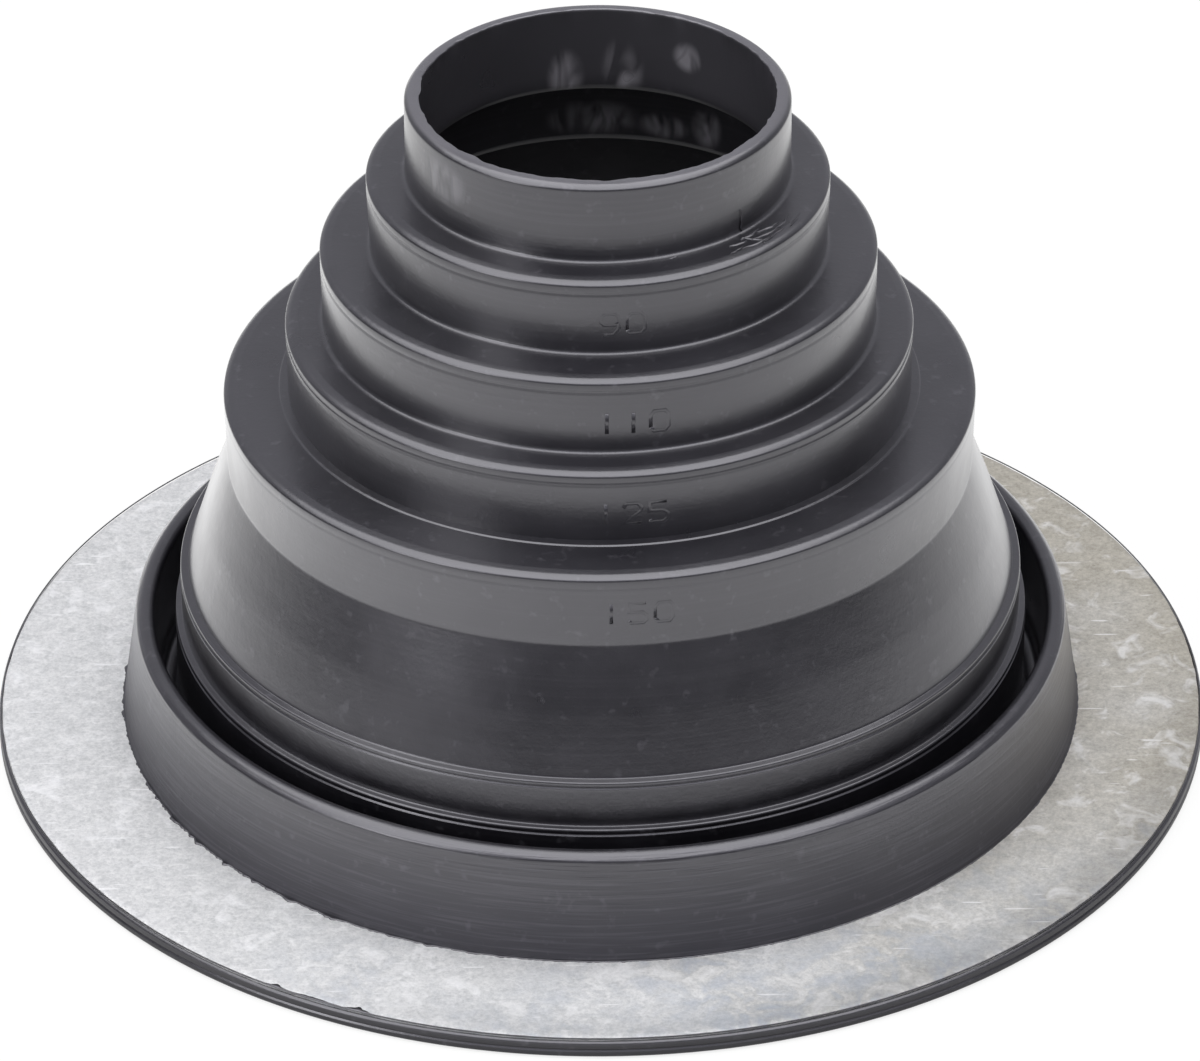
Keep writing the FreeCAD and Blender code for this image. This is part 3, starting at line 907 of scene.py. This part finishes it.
def mill_finish_aluminium():
    """Annealed aluminium sheet with its mill finish: a dull pale metal with a crystal speckle, white
    rubs and short scratches from stacking, painted cool light in front, painted warmer shade at the
    right and back, and painted shade on the outer edge, most at the front right."""
    metal = new_material("mill_finish_aluminium")
    place = add(metal, "TexCoord").outputs["Object"]
    speckle = add(metal, "TexNoise", Vector=place, Scale=per_metre(SPECKLE_SIZE), Detail=2.0, Roughness=0.7)
    mottle = add(metal, "TexNoise", Vector=place, Scale=per_metre(MOTTLE_SIZE), Detail=3.0, Roughness=0.75)
    rubs = add(
        metal, "TexNoise", Vector=place, Scale=per_metre(RUB_SIZE), Detail=3.0, Roughness=0.62,
        Distortion=0.7,
    ).outputs["Fac"]
    cloud = add(
        metal, "TexNoise", Vector=place, Scale=per_metre(CLOUD_SIZE), Detail=2.0, Roughness=0.6,
    ).outputs["Fac"]
    scratch_place = add(
        metal, "Mapping", Vector=place, Rotation=(0.0, 0.0, SCRATCH_TURN),
        Scale=[per_metre(size) for size in SCRATCH_SIZE],
    ).outputs[0]
    scratches = add(metal, "TexNoise", Vector=scratch_place, Scale=1.0, Detail=1.0).outputs["Fac"]

    grains = add(
        metal, "Mix", {"data_type": "FLOAT"}, _0=0.45, _2=speckle.outputs["Fac"], _3=mottle.outputs["Fac"],
    ).outputs[0]
    tone = add(metal, "MapRange", Value=grains, From_Min=0.35, From_Max=0.65).outputs[0]
    bright = add(
        metal, "Mix", {"data_type": "RGBA"}, _0=tone, _6=paint(LIT_METAL[0]), _7=paint(LIT_METAL[1]),
    ).outputs[2]
    # Painted shade: the right and back are darker and warmer, broken into patches by the cloud.
    shaded_metal = add(
        metal, "Mix", {"data_type": "RGBA"}, _0=tone, _6=paint(SHADED_METAL[0]), _7=paint(SHADED_METAL[1]),
    ).outputs[2]
    across = add(
        metal, "VectorMath", {"operation": "DOT_PRODUCT"}, _0=place, _1=PAINTED_SHADE_ACROSS,
    ).outputs["Value"]
    patchy = add(metal, "Math", {"operation": "ADD"}, _0=across, _1=cloud).outputs[0]
    painted_shade_share = add(metal, "MapRange", Value=patchy, From_Min=0.4, From_Max=1.0).outputs[0]
    side_shaded = add(metal, "Mix", {"data_type": "RGBA"}, _0=painted_shade_share, _6=bright, _7=shaded_metal).outputs[2]

    # Painted cool light lies in patches towards the front: where the rubs' pattern is low, the sheet is
    # bluest.
    front = add(
        metal, "VectorMath", {"operation": "DOT_PRODUCT"}, _0=place, _1=COOL_LIGHT_ACROSS,
    ).outputs["Value"]
    clouded = add(metal, "Math", {"operation": "MULTIPLY"}, _0=front, _1=cloud).outputs[0]
    painted_cool_light = add(metal, "MapRange", Value=clouded, From_Min=0.2, From_Max=0.45, To_Max=0.6).outputs[0]
    patch = add(metal, "MapRange", Value=rubs, From_Min=0.56, From_Max=0.36).outputs[0]
    blue = add(metal, "Math", {"operation": "MULTIPLY"}, _0=patch, _1=painted_cool_light).outputs[0]
    tinted = add(metal, "Mix", {"data_type": "RGBA"}, _0=blue, _6=side_shaded, _7=paint(COOL_LIGHT_BLUE)).outputs[2]

    rubbed = add(metal, "MapRange", Value=rubs, From_Min=0.54, From_Max=0.68, To_Max=0.5).outputs[0]
    scored = add(metal, "MapRange", Value=scratches, From_Min=0.7, From_Max=0.74, To_Max=0.6).outputs[0]
    wear = add(metal, "Math", {"operation": "MAXIMUM"}, _0=rubbed, _1=scored).outputs[0]
    worn = add(metal, "Mix", {"data_type": "RGBA"}, _0=wear, _6=tinted, _7=paint(RUBBED_WHITE)).outputs[2]

    # Painted shade on the outer edge, most at the front right.
    reach = add(metal, "VectorMath", {"operation": "LENGTH"}, _0=place).outputs["Value"]
    outer = add(
        metal, "MapRange", Value=reach, From_Min=EDGE_SHADE_RADII[0] * MM, From_Max=EDGE_SHADE_RADII[1] * MM,
        To_Max=0.3,
    ).outputs[0]
    side = add(
        metal, "VectorMath", {"operation": "DOT_PRODUCT"}, _0=place, _1=EDGE_SHADE_ACROSS,
    ).outputs["Value"]
    edge_shade_side = add(metal, "MapRange", Value=side, From_Min=0.35, From_Max=0.85).outputs[0]
    painted_edge_shade = add(metal, "Math", {"operation": "MULTIPLY"}, _0=outer, _1=edge_shade_side).outputs[0]
    colour = add(
        metal, "Mix", {"data_type": "RGBA"}, _0=painted_edge_shade, _6=worn, _7=paint(EDGE_SHADE_GREY),
    ).outputs[2]
    rough = add(
        metal, "MapRange", Value=mottle.outputs["Fac"], From_Min=0.3, From_Max=0.7,
        To_Min=0.78, To_Max=0.66,
    ).outputs[0]
    bump = add(metal, "Bump", Height=grains, Strength=0.6, Distance=0.12 * MM).outputs[0]
    shader = add(metal, "BsdfPrincipled", Base_Color=colour, Roughness=rough, Metallic=1.0, Normal=bump)
    add(metal, "OutputMaterial", Surface=shader.outputs["BSDF"])
    return metal


ring = sheet_ring()
ring.data.materials.append(mill_finish_aluminium())
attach(ring, "root")
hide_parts("aluminium_flange_ring")


# ---------------------------------------------------------------- studio
# A white paper floor in an even white room, lit by a large softbox overhead and a small one at the
# front left. Only reflections see the grey tent, which glows with painted light: dim low in front, lighter
# overhead and behind.

FLOOR_SIZE = 12.0
FLOOR_LEVEL = -0.0002
# Radii in metres about the object: where the paper turns plain white, where the painted shade in its
# mirror image ends and it is fully lit, where that fades with distance, and the painted pool of light.
SHADOW_ENDS = (0.116, 0.124)
PAINTED_SHADE_RADII = (0.118, 0.15)
MIRROR_FAR = (0.45, 1.2)
PAINTED_POOL_RADII = (0.25, 0.18)
# How far right the painted pool of light is weakest, and how far left it is strongest.
PAINTED_POOL_ACROSS = (0.05, -0.14)


def white_floor():
    """Matt white paper that reads as plain white, with the object's own soft shadow kept. In reflections
    it is a glowing sheet about half a metre across, with painted shade close round the object and a painted
    pool of light at the left."""
    paper = new_material("white_paper_floor")
    seen = add(paper, "LightPath").outputs
    straight = add(
        paper, "Math", {"operation": "MAXIMUM"}, _0=seen["Is Camera Ray"], _1=seen["Is Transmission Ray"],
    ).outputs[0]
    place = add(paper, "TexCoord").outputs["Object"]
    reach = add(paper, "VectorMath", {"operation": "LENGTH"}, _0=place).outputs["Value"]
    clear = add(
        paper, "MapRange", Value=reach, From_Min=SHADOW_ENDS[0], From_Max=SHADOW_ENDS[1], To_Max=0.9,
    ).outputs[0]
    shown = add(paper, "Math", {"operation": "MULTIPLY"}, _0=straight, _1=clear).outputs[0]
    matt = add(paper, "BsdfDiffuse", Color=paint("#f4f4f4"))
    white = add(paper, "Emission", Color=paint("#ffffff"), Strength=1.0)
    plain = add(paper, "MixShader", _0=shown, _1=matt.outputs[0], _2=white.outputs[0])

    # Painted shade: the glow seen in reflections is dim close round the object and fades far out.
    near = add(paper, "MapRange", Value=reach, From_Min=PAINTED_SHADE_RADII[0], From_Max=PAINTED_SHADE_RADII[1]).outputs[0]
    far = add(
        paper, "MapRange", Value=reach, From_Min=MIRROR_FAR[0], From_Max=MIRROR_FAR[1],
        To_Min=1.0, To_Max=0.2,
    ).outputs[0]
    lit = add(paper, "Math", {"operation": "MULTIPLY"}, _0=near, _1=far).outputs[0]
    level = add(paper, "MapRange", Value=lit, To_Min=0.12, To_Max=1.0).outputs[0]
    # Painted light: the glow is raised around the object, most at the left, as if lit by the lamp at the
    # front left.
    beside = add(
        paper, "MapRange", Value=reach, From_Min=PAINTED_POOL_RADII[0], From_Max=PAINTED_POOL_RADII[1],
    ).outputs[0]
    across = add(paper, "SeparateXYZ", Vector=place).outputs["X"]
    painted_pool_leftward = add(
        paper, "MapRange", Value=across, From_Min=PAINTED_POOL_ACROSS[0], From_Max=PAINTED_POOL_ACROSS[1],
        To_Min=0.22, To_Max=0.6,
    ).outputs[0]
    painted_pool_gain = add(paper, "Math", {"operation": "MULTIPLY_ADD"}, _0=beside, _1=painted_pool_leftward, _2=1.0).outputs[0]
    strength = add(paper, "Math", {"operation": "MULTIPLY"}, _0=level, _1=painted_pool_gain).outputs[0]
    mirrored = add(paper, "Emission", Color=paint("#ffffff"), Strength=strength)
    mixed = add(
        paper, "MixShader", _0=seen["Is Glossy Ray"], _1=plain.outputs[0], _2=mirrored.outputs[0],
    )
    add(paper, "OutputMaterial", Surface=mixed.outputs[0])
    return paper


half = FLOOR_SIZE / 2
floor_corners = [(-half, -half, 0), (half, -half, 0), (half, half, 0), (-half, half, 0)]
floor_mesh = bpy.data.meshes.new("floor")
floor_mesh.from_pydata(floor_corners, [], [(0, 1, 2, 3)])
floor_mesh.materials.append(white_floor())
floor = bpy.data.objects.new("floor", floor_mesh)
floor.location.z = FLOOR_LEVEL
bpy.context.scene.collection.objects.link(floor)

# The room is plain white where it is seen straight or mirrored, and a softer fill as a light.
ROOM_LIGHT = 0.32

world = bpy.data.worlds.new("white_room")
bpy.context.scene.world = world
world.use_nodes = True
world.node_tree.nodes.clear()
seen = add(world, "LightPath").outputs
direct = add(
    world, "Math", {"operation": "MAXIMUM"}, _0=seen["Is Camera Ray"], _1=seen["Is Transmission Ray"],
).outputs[0]
shiny = add(world, "Math", {"operation": "MAXIMUM"}, _0=direct, _1=seen["Is Glossy Ray"]).outputs[0]
fill = add(world, "Background", Color=paint("#ffffff"), Strength=ROOM_LIGHT)
plain = add(world, "Background", Color=paint("#ffffff"), Strength=1.0)
room = add(world, "MixShader", _0=shiny, _1=fill.outputs[0], _2=plain.outputs[0])
add(world, "OutputWorld", Surface=room.outputs[0])


def softbox(name, place, aim, width, depth, watts):
    """An oblong softbox that faces a point."""
    lamp = bpy.data.lights.new(name, "AREA")
    lamp.shape = "RECTANGLE"
    lamp.size = width
    lamp.size_y = depth
    lamp.energy = watts
    holder = bpy.data.objects.new(name, lamp)
    holder.location = place
    holder.rotation_euler = (Vector(aim) - Vector(place)).to_track_quat("-Z", "Y").to_euler()
    bpy.context.scene.collection.objects.link(holder)


softbox("softbox_top", (-0.15, -0.1, 1.2), (-0.15, -0.1, 0.0), width=2.4, depth=1.5, watts=26.0)
softbox("softbox_left", (-0.9, -0.75, 0.55), (0.0, 0.0, 0.05), width=0.5, depth=0.5, watts=3.0)

TENT_RADIUS = 1.9
TENT_HEIGHT = 1.5
TENT_SIDES = 48
TENT_GLOW_TINT = "#f6f6ff"


def painted_glow_tent():
    """A tent sheet that glows with a faintly violet cast, though it is no lamp; its glow is painted
    light, strongest high in front: it gives the rubber a dim low front to mirror, and a lighter roof and
    back."""
    tent_glow = new_material("painted_glow_tent")
    place = add(tent_glow, "TexCoord").outputs["Object"]
    spot = add(tent_glow, "SeparateXYZ", Vector=place).outputs
    # Painted light: the glow is dim low in front, raised high up in front and behind.
    behind = add(
        tent_glow, "MapRange", Value=spot["Y"], From_Min=0.2, From_Max=1.2, To_Min=0.15, To_Max=0.42,
    ).outputs[0]
    raised = add(tent_glow, "MapRange", Value=spot["Z"], From_Min=0.5, From_Max=1.2).outputs[0]
    ahead = add(tent_glow, "MapRange", Value=spot["Y"], From_Min=0.1, From_Max=-0.7, To_Max=0.6).outputs[0]
    glow = add(tent_glow, "Math", {"operation": "MULTIPLY_ADD"}, _0=raised, _1=ahead, _2=behind).outputs[0]
    lit = add(tent_glow, "Emission", Color=paint(TENT_GLOW_TINT), Strength=glow)
    add(tent_glow, "OutputMaterial", Surface=lit.outputs[0])
    return tent_glow


tent_points = []
for height in (0.0, TENT_HEIGHT):
    for k in range(TENT_SIDES):
        angle = TAU * k / TENT_SIDES
        tent_points.append((TENT_RADIUS * math.cos(angle), TENT_RADIUS * math.sin(angle), height))
tent_faces = []
for k in range(TENT_SIDES):
    n = (k + 1) % TENT_SIDES
    tent_faces.append((k, n, TENT_SIDES + n, TENT_SIDES + k))
tent_faces.append(tuple(range(TENT_SIDES, 2 * TENT_SIDES)))
tent_mesh = bpy.data.meshes.new("grey_tent")
tent_mesh.from_pydata(tent_points, [], tent_faces)
tent_mesh.materials.append(painted_glow_tent())
tent = bpy.data.objects.new("grey_tent", tent_mesh)
bpy.context.scene.collection.objects.link(tent)
tent.visible_camera = False
tent.visible_diffuse = False
tent.visible_shadow = False

# A long lens from the front, looking down at the object.
CAMERA_PLACE = (0.0, -1.1241, 0.7413)
CAMERA_LENS = 196.3
LOOK_DOWN = math.radians(31.92)
LEAN = math.radians(-0.27)

lens = bpy.data.cameras.new("camera")
lens.sensor_width = 36.0
lens.lens = CAMERA_LENS
camera = bpy.data.objects.new("camera", lens)
camera.location = CAMERA_PLACE
aim = Matrix.Rotation(math.pi / 2 - LOOK_DOWN, 3, "X") @ Matrix.Rotation(LEAN, 3, "Z")
camera.rotation_euler = aim.to_euler()
bpy.context.scene.collection.objects.link(camera)
bpy.context.scene.camera = camera
bpy.context.scene.view_settings.view_transform = "Standard"
